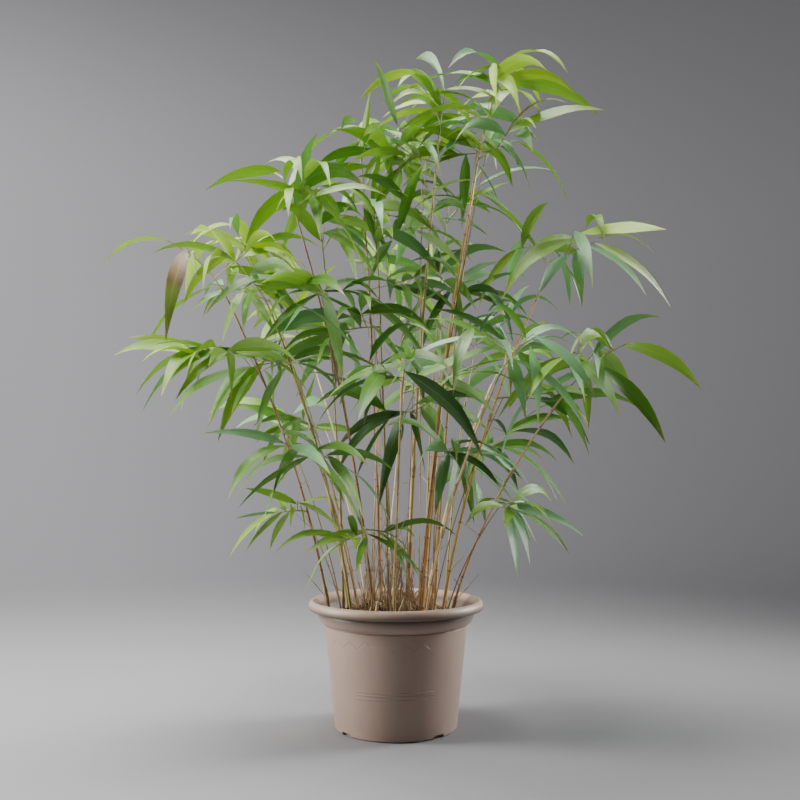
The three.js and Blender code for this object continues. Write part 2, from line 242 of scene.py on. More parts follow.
class Finish:
    """A material in the making, round one Principled shader."""

    def __init__(self, name, **sockets):
        self.material = bpy.data.materials.new(name)
        self.material.use_nodes = True
        self.tree = self.material.node_tree
        self.shader = self.tree.nodes["Principled BSDF"]
        self.set(**sockets)

    def set(self, **sockets):
        for name, value in sockets.items():
            title = name.replace("_", " ").title().replace("Ior", "IOR")
            join(self.tree, self.shader.inputs[title], value)

    def node(self, kind, sockets, output=0, **settings):
        node = self.tree.nodes.new("ShaderNode" + kind)
        for name, value in settings.items():
            setattr(node, name, value)
        for name, value in sockets.items():
            join(self.tree, node.inputs[name], value)
        return Wire(self.tree, node.outputs[output])

    def part(self, vector, axis):
        """One of a vector's three numbers."""
        return self.node("SeparateXYZ", {0: vector}, axis)

    def place(self, scale=(1, 1, 1)):
        spot = self.node("TexCoord", {}, "Object")
        return self.node("Mapping", {"Vector": spot, "Scale": scale})

    def cloud(self, size, detail=3.0, stretch=(1, 1, 1)):
        """Noise whose blots are about that many metres across, from 0 to 1."""
        sockets = {"Vector": self.place(stretch), "Scale": 1 / size, "Detail": detail}
        return self.node("TexNoise", sockets)

    def mixed(self, amount, first, second):
        return self.node("Mix", {0: amount, 6: first, 7: second}, 2, data_type="RGBA")

    def between(self, value, low, high):
        """How far a value lies between two others, from 0 to 1."""
        sockets = {"Value": value, "From Min": low, "From Max": high}
        return self.node("MapRange", sockets)

    def relief(self, height, depth):
        sockets = {"Height": height, "Distance": depth, "Strength": 1.0}
        self.set(normal=self.node("Bump", sockets))


def dressed(name, mesh, finish, slot, *replaced):
    """Turns a mesh into a smooth-shaded piece."""
    mesh.shade_smooth()
    mesh.set_sharp_from_angle(angle=SMOOTH_BELOW)
    mesh.materials.append(finish.material)
    piece = in_scene(name, mesh)
    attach(piece, "root")
    if replaced:
        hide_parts(*replaced)
    return piece


def tapered(foot, tip, share):
    return foot + (tip - foot) * share


def curved(start, bend, end):
    """Points along a bent line of the planter's outline, from its start to its end."""
    s = np.linspace(0, 1, LIP_STEPS + 1)[:, None]
    return (1 - s) ** 2 * start + 2 * s * (1 - s) * bend + s * s * end


lip_turn = (RIM_RADIUS, LIP_UNDERSIDE + LIP_ROUNDING)
groove_radius = BODY_TOP_RADIUS - GROOVE_DEPTH
groove_foot = STEP_HEIGHT - GROOVE_HEIGHT
pot_outline = [
    (0, 0),
    (BASE_RADIUS - FOOT_ROUNDING, 0),
    (BASE_RADIUS, FOOT_ROUNDING),
    (BODY_TOP_RADIUS, groove_foot),
    (groove_radius, groove_foot + GROOVE_DEPTH / 2),
    (groove_radius, STEP_HEIGHT - GROOVE_DEPTH / 2),
    (COLLAR_FOOT_RADIUS, STEP_HEIGHT),
    *curved((COLLAR_FOOT_RADIUS, STEP_HEIGHT), COLLAR_BEND, COLLAR_BULGE)[1:],
    *curved(COLLAR_BULGE, NECK_BEND, (NECK_RADIUS, LIP_UNDERSIDE))[1:],
    *curved((RIM_RADIUS - LIP_ROUNDING, LIP_UNDERSIDE), (RIM_RADIUS, LIP_UNDERSIDE), lip_turn),
    *curved(lip_turn, (RIM_RADIUS, POT_HEIGHT - WALL), (MOUTH_RADIUS, POT_HEIGHT))[1:],
    (MOUTH_RADIUS - WALL, POT_HEIGHT - WALL / 2),
    (NECK_RADIUS - WALL, LIP_UNDERSIDE),
    (COLLAR_FOOT_RADIUS - WALL, STEP_HEIGHT),
    (BODY_TOP_RADIUS - WALL, STEP_HEIGHT - STEP_SLOPE),
    (BASE_RADIUS - WALL, FLOOR),
    (0, FLOOR),
]
pot_shape = spun(pot_outline, POT_STEPS)
corner_edges = [
    edge
    for edge in pot_shape.edges
    if edge.calc_face_angle(0) > CORNER_ANGLE
    and abs(edge.verts[0].co.z - edge.verts[1].co.z) < CORNER_ROUNDING
    and edge.verts[0].co.z > FLOOR
]
bmesh.ops.bevel(
    pot_shape, geom=corner_edges, offset=CORNER_ROUNDING, affect="EDGES",
    segments=CORNER_SEGMENTS, profile=0.5, material=-1,
)

plastic = Finish("taupe_plastic", specular_ior_level=0.5)
blotches = plastic.cloud(90 * MM)
streaks = plastic.cloud(12 * MM, 4.0, (1, 1, 0.35))
scuffs = plastic.between(plastic.cloud(30 * MM, 6.0, (0.5, 0.5, 2.6)), 0.64, 0.78)
grain = plastic.cloud(1.1 * MM, 2.0)
mottled = plastic.mixed(blotches, TAUPE_DARK, TAUPE)
streaked = plastic.mixed(streaks * 0.22, mottled, TAUPE_PALE)
wall_place = plastic.place()
across, towards_back, height = (plastic.part(wall_place, axis) for axis in range(3))
compass = across.calculated("ARCTAN2", across, 0.0 - towards_back)
teeth = (compass + ZIGZAG_TURN) * (ZIGZAG_PEAKS / (2 * math.pi))
climb = 1.0 - teeth.calculated("PINGPONG", teeth, 0.5) * 2
line = tapered(*ZIGZAG_HEIGHTS, climb)
left_in = plastic.between(plastic.cloud(50 * MM, 2.0), 0.42, 0.58)
zigzag = (1.0 - abs(height - line) * (1 / ZIGZAG_WIDTH)).clamped() * left_in
# Painted highlight: the top of the rolled lip is painted paler, as if lit from above.
lip_highlight = plastic.between(height, *LIP_HIGHLIGHT_HEIGHTS)
# Painted shadow: the collar is painted darker from 209 mm up to the lip, standing in for the lip's
# shade.
under_lip_shadow = plastic.between(height, *UNDER_LIP_SHADOW_HEIGHTS) * (1.0 - lip_highlight)
taupe = plastic.mixed(scuffs * 0.30, streaked, TAUPE_PALE)
taupe = plastic.mixed(under_lip_shadow * 0.80, taupe, TAUPE_SHADOWED)
taupe = plastic.mixed(lip_highlight * 0.75, taupe, TAUPE_LIT)
plastic.set(
    base_color=plastic.mixed(zigzag * 0.25, taupe, TAUPE_DARK),
    roughness=0.38 + blotches * 0.10 + scuffs * 0.15,
)
plastic.relief(grain * 0.3 + streaks * 0.2 - zigzag, 0.6 * MM)
planter = dressed("planter", mesh_of("planter", pot_shape), plastic, "pot_plastic", "pot")

notch_shape = bmesh.new()
for turn in NOTCH_TURNS:
    spot = Matrix.Rotation(math.radians(turn), 4, "Z") @ Matrix.Translation((0, -BASE_RADIUS, 0))
    bmesh.ops.create_cube(notch_shape, size=1.0, matrix=spot @ Matrix.Diagonal((*NOTCH, 1)))
notches = in_scene("notches", mesh_of("notches", notch_shape))
cut = planter.modifiers.new("notches", "BOOLEAN")
cut.operation = "DIFFERENCE"
cut.object = notches
cut.solver = "EXACT"
bpy.context.view_layer.update()
notched = planter.evaluated_get(bpy.context.evaluated_depsgraph_get())
planter.data = bpy.data.meshes.new_from_object(notched)
planter.modifiers.clear()
bpy.data.objects.remove(notches)

wall_slope = (BODY_TOP_RADIUS - BASE_RADIUS) / (STEP_HEIGHT - STEP_SLOPE - FOOT_ROUNDING)
rib_shape = bmesh.new()
for rib_height in RIB_HEIGHTS:
    reach = BASE_RADIUS + wall_slope * (rib_height - FOOT_ROUNDING)
    stand = Matrix.Translation((reach, 0, rib_height)) @ Matrix.Rotation(math.pi / 2, 4, "X")
    aim = Matrix.Rotation(-math.pi / 2 - RIB_HALF_TURN, 4, "Z")
    ring = bmesh.ops.create_circle(
        rib_shape, segments=RIB_SIDES, radius=RIB_RADIUS, matrix=aim @ stand
    )["verts"]
    bmesh.ops.spin(
        rib_shape,
        geom=ring + list({edge for corner in ring for edge in corner.link_edges}),
        cent=(0, 0, 0),
        axis=(0, 0, 1),
        angle=2 * RIB_HALF_TURN,
        steps=RIB_STEPS,
    )
bmesh.ops.holes_fill(rib_shape, edges=rib_shape.edges, sides=0)
bmesh.ops.recalc_face_normals(rib_shape, faces=rib_shape.faces)
dressed("planter_ribs", mesh_of("planter_ribs", rib_shape), plastic, "pot_plastic")

# Potting soil: dark, damp compost, mounded up round the canes, crumbly, and strewn with bark
# chips and with the straw of old cane sheaths. A heap of each lies among the canes.
SEAT_GAP = 0.3 * MM
SOIL_GAP = 0.9 * MM
SOIL_EDGE_HEIGHT = 214 * MM
SOIL_RISE = 24 * MM
SOIL_UNEVEN = 2.5 * MM
SOIL_LUMP = (17 * MM, 23 * MM)
SOIL_RADIUS = 146 * MM
SOIL_SHOULDER = 211 * MM
SOIL_TOP_RINGS = 44
SOIL_TOP_SHARE = 0.99
SOIL_STEPS = 128
CRUMBS = ((90, 2.5 * MM), (260, 1.5 * MM))
EARTH_DARK = (0.012, 0.008, 0.006, 1)
EARTH_BROWN = (0.075, 0.038, 0.022, 1)
FLECK_BROWN = (0.22, 0.13, 0.065, 1)
CHIP_COUNT = 420
CHIP_SIZE = ((2, 9), (1.5, 4), (3, 15))
CHIP_TILT = 0.5
CHIP_DARK = (0.03, 0.015, 0.009, 1)
CHIP_RED = (0.17, 0.075, 0.035, 1)
CHIP_HEAP = ((-52 * MM, -30 * MM), 26 * MM, 17 * MM, 130)
STRAW_COUNT = 200
STRAW_LENGTH = (12, 48)
STRAW_THICK = (0.7, 2.2)
STRAW_REACH = 112 * MM
STRAW_TILT = 0.35
HEAP_TILT = 1.2
STRAW_DARK = (0.22, 0.125, 0.055, 1)
STRAW_PALE = (0.74, 0.56, 0.32, 1)
STRAW_HEAP = ((22 * MM, -12 * MM), 52 * MM, 40 * MM, 240)


def soil_height(x, y):
    mound = SOIL_RISE * (1 - (x * x + y * y) / SOIL_RADIUS**2)
    lumps = math.sin(x / SOIL_LUMP[0]) * math.cos(y / SOIL_LUMP[1])
    return SOIL_EDGE_HEIGHT + mound + SOIL_UNEVEN * lumps


def soil_surface(x, y):
    """The crumbled top of the soil, where chips and straw lie."""
    crumbs = sum(noise.noise(Vector((x, y, 0)) * pitch) * size for pitch, size in CRUMBS)
    return soil_height(x, y) + crumbs


class Draws:
    """Evenly spread numbers from 0 to 1, the same on every run."""

    def __init__(self, seed):
        self.state = seed * 7919

    def __call__(self):
        self.state = self.state * 16807 % 2147483647
        return self.state / 2147483647

    def between(self, low, high):
        return low + (high - low) * self()

    def turn(self):
        return self.between(0, 2 * math.pi)


inset = WALL + SOIL_GAP
collar_slope = (COLLAR_TOP_RADIUS - COLLAR_FOOT_RADIUS) / (LIP_UNDERSIDE - STEP_HEIGHT)
soil_edge = COLLAR_FOOT_RADIUS + collar_slope * (SOIL_SHOULDER - STEP_HEIGHT) - inset
soil_outline = [
    (0, FLOOR + SEAT_GAP),
    (BASE_RADIUS - inset, FLOOR + SEAT_GAP),
    (BODY_TOP_RADIUS - inset, STEP_HEIGHT - STEP_SLOPE),
    (COLLAR_FOOT_RADIUS - inset, STEP_HEIGHT),
    (soil_edge, SOIL_SHOULDER),
]
for ring in range(SOIL_TOP_RINGS):
    share = SOIL_TOP_SHARE - SOIL_TOP_SHARE * ring / (SOIL_TOP_RINGS - 1)
    soil_outline.append((soil_edge * share, SOIL_EDGE_HEIGHT))
soil_shape = spun(soil_outline, SOIL_STEPS)
for corner in soil_shape.verts:
    if corner.co.z > SOIL_SHOULDER + MM:
        corner.co.z = soil_surface(corner.co.x, corner.co.y)

compost = Finish("compost", specular_ior_level=0.3)
clods = compost.cloud(10 * MM, 6.0)
fibres = compost.cloud(3 * MM, 5.0)
flecks = compost.between(compost.cloud(4.5 * MM, 3.0), 0.66, 0.72)
earth = compost.mixed(clods, EARTH_DARK, EARTH_BROWN)
compost.set(
    base_color=compost.mixed(flecks * 0.7, earth, FLECK_BROWN), roughness=0.78 + fibres * 0.2
)
compost.relief(clods * 0.6 + fibres * 0.4, 4 * MM)
dressed("soil_mound", mesh_of("soil_mound", soil_shape), compost, "potting_soil", "soil")


class Template:
    """A small shape that is copied many times: its corners and its faces."""

    def __init__(self, shape):
        shape.verts.index_update()
        self.corners = np.array([corner.co[:] for corner in shape.verts])
        self.faces = [[corner.index for corner in face.verts] for face in shape.faces]
        shape.free()


def joined(name, shapes, finish, slot, *replaced, rings=(), plans=()):
    """One piece from many shapes, each a template with the places of its corners. A cane's rings
    are kept as a value of each corner, and a blade's plan as UVs."""
    faces = []
    first = 0
    for template, places in shapes:
        faces += [[first + i for i in face] for face in template.faces]
        first += len(places)
    mesh = bpy.data.meshes.new(name)
    mesh.from_pydata(np.concatenate([places for _, places in shapes]), [], faces)
    if rings:
        ring = mesh.attributes.new("ring", "FLOAT", "POINT")
        ring.data.foreach_set("value", np.concatenate(rings))
    if plans:
        owners = np.empty(len(mesh.loops), dtype=np.int32)
        mesh.loops.foreach_get("vertex_index", owners)
        blade = mesh.uv_layers.new(name="blade")
        blade.data.foreach_set("uv", np.concatenate(plans)[owners].ravel())
    dressed(name, mesh, finish, slot, *replaced)


def moved(template, matrix):
    """A template with its corners' places after a matrix."""
    whole = np.array(matrix)
    return template, template.corners @ whole[:3, :3].T + whole[:3, 3]


chip_shape = bmesh.new()
bmesh.ops.create_icosphere(chip_shape, subdivisions=1, radius=0.5)
for corner in chip_shape.verts:
    corner.co *= 1 + 0.35 * noise.noise(corner.co * 5)
chip = Template(chip_shape)
straw_shape = bmesh.new()
bmesh.ops.create_cone(
    straw_shape, cap_ends=True, segments=5, radius1=0.5, radius2=0.22, depth=1.0
)
bmesh.ops.subdivide_edges(
    straw_shape, edges=[e for e in straw_shape.edges if e.calc_length() > 0.9], cuts=3
)
for corner in straw_shape.verts:
    corner.co.x += 1.6 * corner.co.z**2
straw = Template(straw_shape)


def away_from(middle, turn, out):
    return middle[0] + out * math.cos(turn), middle[1] + out * math.sin(turn)


def on_soil(draw, reach):
    """A place on the soil within some distance of its middle."""
    x, y = away_from((0, 0), draw.turn(), reach * math.sqrt(draw()))
    return Vector((x, y, soil_surface(x, y)))


def in_heap(draw, middle, reach, height):
    """A place anywhere in a rounded heap on the soil."""
    turn = draw.turn()
    out = draw()
    x, y = away_from(middle, turn, reach * out)
    return Vector((x, y, soil_surface(x, y) + height * (1 - out) * draw()))


def tumbled(draw, tilt):
    """A turn to any side, tipped by up to some angle from lying flat."""
    level = Matrix.Rotation(draw.turn(), 4, "Z")
    return level @ Matrix.Rotation(math.pi / 2 + draw.between(-tilt, tilt), 4, "X")


draw = Draws(401)
chips = []
*heap, heap_count = CHIP_HEAP
for i in range(CHIP_COUNT + heap_count):
    size = Matrix.Diagonal((*[draw.between(*span) * MM for span in CHIP_SIZE], 1))
    place = on_soil(draw, soil_edge - 5 * MM)
    if i >= CHIP_COUNT:
        place = in_heap(draw, *heap)
    chips.append(moved(chip, Matrix.Translation(place) @ tumbled(draw, CHIP_TILT) @ size))
bark = Finish("bark_chips", roughness=0.8, specular_ior_level=0.3)
bark.set(base_color=bark.mixed(bark.cloud(12 * MM, 4.0), CHIP_DARK, CHIP_RED))
bark.relief(bark.cloud(2 * MM, 4.0), 0.8 * MM)
joined("bark_chips", chips, bark, "potting_soil")

straws = []
*heap, heap_count = STRAW_HEAP
for i in range(STRAW_COUNT + heap_count):
    length = draw.between(*STRAW_LENGTH) * MM
    thick = draw.between(*STRAW_THICK) * MM
    place = on_soil(draw, STRAW_REACH)
    tilt = STRAW_TILT
    if i >= STRAW_COUNT:
        place = in_heap(draw, *heap)
        tilt = HEAP_TILT
    size = Matrix.Diagonal((thick, thick * 0.6, length, 1))
    lift = Matrix.Translation(place + Vector((0, 0, 2 * MM)))
    straws.append(moved(straw, lift @ tumbled(draw, tilt) @ size))
dry_straw = Finish("dry_straw", roughness=0.6)
dry_straw.set(base_color=dry_straw.mixed(dry_straw.cloud(20 * MM), STRAW_DARK, STRAW_PALE))
joined("straw_litter", straws, dry_straw, "potting_soil")

# Canes: nineteen jointed culms, from olive to russet and gold, each arching away from the clump's
# middle. A swollen ring with a dull scar stands at every joint. A row of CULMS has a cane's foot
# and tip, its thickness, its end spray, and its side sprays, each from how far up it stands.
FOOT_SUNK = 26 * MM
CULM_TIP_RADIUS = 1.7 * MM
CULM_BEND = np.array([0.24, 0.24, 0.50])
CULM_SIDES = 12
CULMS = [
    ((-128, -8), (-335, -62, 845), 6, (175, 195, 0.7),
     ((0.84, 215, 14, 110, 180), (0.36, 208, 8, 60, 120))),
    ((-94, 34), (-280, 65, 895), 6.5, (150, 180, 0.6),
     ((0.76, 228, 10, 90, 180), (0.96, 195, 25, 120, 180))),
    ((-84, -40), (-235, -135, 800), 6, (130, 175, 0.6), ((0.56, 255, 5, 80, 180),)),
    ((-41, -66), (-185, -62, 965), 5.5, (135, 205, 0.1),
     ((0.86, 285, 0, 85, 190), (0.25, 278, -5, 60, 142))),
    ((-104, 0), (-148, 10, 925), 5.5, (130, 180, 0.5), ()),
    ((-32, 20), (-70, 50, 1100), 7, (150, 175, 0.5), ((0.76, 330, 10, 100, 175),)),
    ((-14, -48), (-36, -46, 905), 5.5, (130, 175, 0.5), ((0.84, 195, 0, 90, 190),)),
    ((22, -14), (88, -20, 1188), 10, (110, 175, 0.4),
     ((0.95, 175, 22, 140, 175), (0.42, 250, 5, 80, 170))),
    ((48, -56), (182, 0, 1205), 12, (135, 200, 0.6),
     ((0.95, 35, 40, 120, 185), (0.34, 325, 5, 70, 160))),
    ((56, 34), (104, 135, 990), 6.5, (140, 175, 0.5),
     ((0.88, 290, 5, 80, 175), (0.42, 325, 5, 100, 170))),
    ((76, -6), (168, 10, 1135), 7.5, (120, 165, 0.6), ()),
    ((100, 44), (165, 165, 730), 6, (130, 175, 0.5), ()),
    ((86, -56), (300, -25, 885), 7, (160, 190, 0.8), ((0.66, 345, 5, 100, 175),)),
    ((104, -22), (325, -110, 655), 6, (150, 200, 0.5), ((0.53, 330, 0, 45, 150),)),
    ((-60, 92), (-205, 325, 775), 6, (140, 180, 0.7), ((0.7, 160, 10, 110, 175),)),
    ((0, 104), (18, 345, 900), 6.5, (140, 180, 0.7), ((0.72, 60, 10, 110, 175),)),
    ((60, 90), (225, 310, 710), 6, (140, 180, 0.7), ((0.7, 20, 10, 110, 175),)),
    ((-4, -104), (10, -262, 610), 5, (130, 175, 0.6), ()),
    ((52, -98), (175, -275, 660), 5, (130, 175, 0.6), ()),
]
CANE_KINDS = (
    "russet olive olive russet olive russet olive straw golden olive "
    "straw olive golden straw olive russet straw olive straw"
).split()
CANE_COLOURS = {
    "golden": ((0.94, 0.58, 0.2, 1), (0.68, 0.34, 0.09, 1)),
    "straw": ((0.86, 0.62, 0.3, 1), (0.5, 0.29, 0.11, 1)),
    "russet": ((0.5, 0.26, 0.11, 1), (0.2, 0.085, 0.035, 1)),
    "olive": ((0.52, 0.47, 0.15, 1), (0.24, 0.17, 0.05, 1)),
}
STAIN_BROWN = (0.26, 0.13, 0.055, 1)
SCAR_BROWN = (0.15, 0.085, 0.045, 1)
STAIN_HEIGHTS = (0.46, 0.24)
FIRST_JOINT = (4, 16)
BARE_TIP = 25 * MM
JOINT_GAP = 38
WIDER_GAP = 62
UNEVEN_GAP = (0.85, 1.15)
# Past a joint by some millimetres: how swollen the cane is, and how much of the scar shows.
JOINT_RINGS = (
    (-3.2, 0.99, 0), (-1.2, 1.10, 0.35), (0, 1.20, 1), (0.9, 1.08, 0.9), (2.6, 0.94, 0.2)
)
BETWEEN_JOINTS = ((0.35, 1), (0.7, 1.01))
CANE_WANDER = 1.5 * MM


class Midline:
    """The middle of a limb or leaf: a bent line that stays in one upright plane."""

    def __init__(self, start, bend, end, compass):
        self.start, self.bend, self.end = np.array([start, bend, end], dtype=float)
        self.side = np.array([-math.sin(compass), math.cos(compass), 0.0])

    def point(self, share):
        s = np.asarray(share)[..., None]
        return (1 - s) ** 2 * self.start + 2 * s * (1 - s) * self.bend + s**2 * self.end

    def direction(self, share):
        s = np.asarray(share)[..., None]
        way = (1 - s) * (self.bend - self.start) + s * (self.end - self.bend)
        return way / np.linalg.norm(way, axis=-1, keepdims=True)

    def length(self):
        stops = self.point(np.linspace(0, 1, 20))
        return float(np.linalg.norm(np.diff(stops, axis=0), axis=1).sum())


def laid(corners, midline, roll=0.0, twist=0.0):
    """Corners laid along a midline. Their z is a share of its length, and their x and y go across
    it and above it, in metres."""
    share = corners[:, 2]
    along = midline.direction(share)
    turn = (roll + twist * share)[:, None]
    across = midline.side * np.cos(turn) + np.cross(along, midline.side) * np.sin(turn)
    above = np.cross(along, across)
    return midline.point(share) + across * corners[:, :1] + above * corners[:, 1:2]


def next_ring(shape, edges, rise, size):
    """Grows a tube by one ring, which is raised and sized from its last one. Gives its edges."""
    grown = bmesh.ops.extrude_edge_only(shape, edges=edges)["geom"]
    ring = {g for g in grown if isinstance(g, bmesh.types.BMVert)}
    move = Matrix.Translation((0, 0, rise)) @ Matrix.Diagonal((size, size, 1, 1))
    bmesh.ops.transform(shape, matrix=move, verts=list(ring))
    return [g for g in grown if isinstance(g, bmesh.types.BMEdge) and set(g.verts) <= ring]


def rod(sides, rows):
    """A rod made ring by ring from its foot. Each row is a share of its length and a radius."""
    shape = bmesh.new()
    ring = bmesh.ops.create_circle(shape, segments=sides, radius=rows[0][1])["verts"]
    bmesh.ops.translate(shape, verts=ring, vec=(0, 0, rows[0][0]))
    edges = list(shape.edges)
    for (old_share, old_radius), (share, radius) in zip(rows, rows[1:]):
        edges = next_ring(shape, edges, share - old_share, radius / old_radius)
    bmesh.ops.holes_fill(shape, edges=shape.edges, sides=0)
    bmesh.ops.recalc_face_normals(shape, faces=shape.faces)
    return Template(shape)


def joint_shares(length, draw):
    """Where the joints of a cane stand: close together at its foot and near its tip."""
    shares = []
    height = FOOT_SUNK + draw.between(*FIRST_JOINT) * MM
    while height < length - BARE_TIP:
        share = height / length
        shares.append(share)
        spread = math.sin(math.pi * min(1, share * 1.15 + 0.08)) ** 0.7
        height += (JOINT_GAP + WIDER_GAP * spread) * draw.between(*UNEVEN_GAP) * MM
    return shares


canes = {kind: [] for kind in CANE_COLOURS}


def add_cane(kind, midline, thick, tip_radius, sides, draw):
    """Adds a cane to those of its kind: its template, its corners' places and how much of a
    joint's scar each corner shows. Gives its joints."""
    length = midline.length()
    joints = joint_shares(length, draw)
    step = MM / length
    rows = [(0, 1, 0)]
    for joint, past in zip(joints, [*joints[1:], 1]):
        rows += [(joint + away * step, swell, scar) for away, swell, scar in JOINT_RINGS]
        rows += [(joint + part * (past - joint), swell, 0) for part, swell in BETWEEN_JOINTS]
    rows.append((1, 1, 0))
    shares, swells, scars = zip(*rows)
    radii = tapered(thick / 2 * MM, tip_radius, np.array(shares)) * swells
    template = rod(sides, list(zip(shares, radii)))
    share = template.corners[:, 2]
    wander = np.interp(share, [0, *joints, 1], [0, *[draw.between(-1, 1) for _ in joints], 0])
    places = laid(template.corners, midline) + midline.side * (wander * CANE_WANDER)[:, None]
    canes[kind].append((template, places, np.interp(share, shares, scars)))
    return joints


def cane_finish(kind, pale, dark):
    """Glossy cane skin, streaked lengthwise, brown towards the soil, with dull brown joints."""
    skin = Finish(f"{kind}_cane", specular_ior_level=0.55)
    streaks = skin.cloud(3.5 * MM, 3.0, (1, 1, 0.05))
    blotches = skin.cloud(45 * MM, 3.0, (1, 1, 0.5))
    ring = skin.node("Attribute", {}, "Fac", attribute_name="ring")
    height = skin.part(skin.node("TexCoord", {}, "Object"), 2)
    low = skin.between(height + blotches * 0.12, *STAIN_HEIGHTS)
    tone = skin.mixed((streaks * 0.6 + blotches * 0.7 - 0.25).clamped(), pale, dark)
    stained = skin.mixed(low * 0.30, tone, STAIN_BROWN)
    skin.set(
        base_color=skin.mixed((ring * 0.8).clamped(), stained, SCAR_BROWN),
        roughness=0.34 + ring * 0.35 + streaks * 0.12,
    )
    skin.relief(streaks, 0.3 * MM)
    return skin


def cane_midline(foot, tip):
    """A cane's midline, from under the soil to its tip, which it reaches leaning outwards."""
    low = np.array([*foot, soil_height(*foot) - FOOT_SUNK])
    span = np.array(tip) - low
    return Midline(low, low + span * CULM_BEND, tip, math.atan2(span[1], span[0]))


midlines = [
    cane_midline([n * MM for n in foot], [n * MM for n in tip]) for foot, tip, *_ in CULMS
]
culm_joints = []
for i, (kind, midline, culm) in enumerate(zip(CANE_KINDS, midlines, CULMS)):
    draw = Draws(500 + i)
    culm_joints.append(add_cane(kind, midline, culm[2], CULM_TIP_RADIUS, CULM_SIDES, draw))


def culm_radius(number, share):
    return tapered(CULMS[number][2] / 2 * MM, CULM_TIP_RADIUS, share)


# Sheaths: papery, straw-coloured husks that young canes grew out of. Each still wraps its cane just
# above a joint, and flares at the tip.
SHEATH_COUNT = 62
SHEATH_LENGTH = (16, 52)
SHEATH_SWELL = 1.16
SHEATH_RINGS = ((0.12, 1.02), (0.4, 1.03), (0.48, 1.22))
HUSK_DARK = (0.26, 0.15, 0.065, 1)
HUSK_PALE = (0.62, 0.47, 0.27, 1)
sheath_shape = bmesh.new()
bmesh.ops.create_circle(sheath_shape, segments=10, radius=1.0)
sheath_edges = [e for e in sheath_shape.edges if e.verts[0].co.y + e.verts[1].co.y < 1.5]
for rise, size in SHEATH_RINGS:
    sheath_edges = next_ring(sheath_shape, sheath_edges, rise, size)
loose = [e for e in sheath_shape.edges if not e.link_faces]
bmesh.ops.delete(sheath_shape, geom=loose, context="EDGES")
for corner in sheath_shape.verts:
    corner.co.z *= 1 - 0.35 * (corner.co.y + 1) * 0.5 * corner.co.z
bmesh.ops.solidify(sheath_shape, geom=sheath_shape.faces, thickness=0.08)
sheath = Template(sheath_shape)

draw = Draws(617)
sheaths = []
while len(sheaths) < SHEATH_COUNT:
    number = int(draw() * len(CULMS))
    joints = culm_joints[number]
    joint = joints[int(draw() ** 1.4 * len(joints))]
    radius = culm_radius(number, joint) * SHEATH_SWELL
    length = draw.between(*SHEATH_LENGTH) * MM / midlines[number].length()
    corners = sheath.corners * (radius, radius, length)
    corners[:, 2] += joint
    if corners[:, 2].max() < 0.99:
        sheaths.append((sheath, laid(corners, midlines[number], draw.turn())))
husk = Finish("papery_husk", roughness=0.62)
husk_streaks = husk.cloud(3 * MM, 3.0, (1, 1, 0.08))
husk.set(base_color=husk.mixed(husk_streaks, HUSK_DARK, HUSK_PALE))
husk.relief(husk_streaks, 0.4 * MM)
joined("cane_sheaths", sheaths, husk, "cane")

# Sprays: each cane bears a leafy spray at its tip and most have one or two at their sides. A spray
# is a stem with two twigs and finer side twigs, all green and jointed, with a leaf at each joint.
# Stems, twigs and leaves follow the solids' rule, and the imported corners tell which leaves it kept.
STEM_RADIUS = 1.7 * MM
STEM_ROOT = 4 * MM
STEM_SAG = 0.35
STEM_LEAVES = 5
TWIG_RADIUS = 1.3 * MM
TWIG_ROOT = 2 * MM
TWIG_TAPER = 0.6
TWIG_JOINTS = (0.14, 0.3, 0.44, 0.58, 0.72, 0.85)
TWIG_SHARES = (0.3, 0.5)
TWIG_LEAVES = 4
TWIG_TURN = (35, 70)
TWIG_LIFT = (-15, 30)
TWIG_SIZE = (0.6, 0.9)
UPRIGHT_TURN = 1.4
KEPT_RISE = 0.45
LEAF_SPAN = (0.3, 0.97)
LEAF_TRIES = 5
LEAF_TURN = (30, 75)
END_LEAF_TURN = (-15, 15)
LEAF_LIFT = (-45, 45)
LEAF_SIZE = (0.76, 1.16)
LEAF_SLIMNESS = (0.11, 0.17)
LEAF_SAG = (0.2, 1.4)
LEAF_ROLL = (-65, 65)
FOUND_WITHIN = 0.5 * MM
UP = np.array([0.0, 0.0, 1.0])


def heading(angle, rise):
    turn, climb = math.radians(angle), math.radians(rise)
    level = math.cos(climb)
    return np.array([level * math.cos(turn), level * math.sin(turn), math.sin(climb)])


def sagging(start, direction, length, sag):
    """A midline of some length from a start, which sags towards the ground on its outer half."""
    bend = start + direction * length / 2
    outer = direction - UP * sag
    end = bend + outer / np.linalg.norm(outer) * length / 2
    return Midline(start, bend, end, math.atan2(direction[1], direction[0]))


def turned(direction, turn, lift):
    """Another direction, turned by some degrees of compass from this one and raised or lowered."""
    compass = math.degrees(math.atan2(direction[1], direction[0]))
    rise = math.degrees(math.asin(max(-1, min(1, direction[2]))))
    wider = 1 + UPRIGHT_TURN * abs(direction[2])
    return heading(compass + wider * turn, KEPT_RISE * rise + lift)


def leaf_tries(midline, count, leaf_length, draw):
    """The leaves of one stem or twig, each as a few tries at its place."""
    leaves = []
    for i in range(count):
        share = tapered(*LEAF_SPAN, (i + 1) / count)
        side = -1 if i % 2 else 1
        tries = []
        for _ in range(LEAF_TRIES):
            turn = side * draw.between(*(END_LEAF_TURN if i == count - 1 else LEAF_TURN))
            lift = draw.between(*LEAF_LIFT)
            length = leaf_length * draw.between(*LEAF_SIZE)
            width = length * draw.between(*LEAF_SLIMNESS)
            sag = draw.between(*LEAF_SAG)
            roll = math.radians(draw.between(*LEAF_ROLL))
            direction = turned(midline.direction(share), turn, lift)
            tries.append((sagging(midline.point(share), direction, length, sag), width, roll))
        leaves.append(tries)
    return leaves


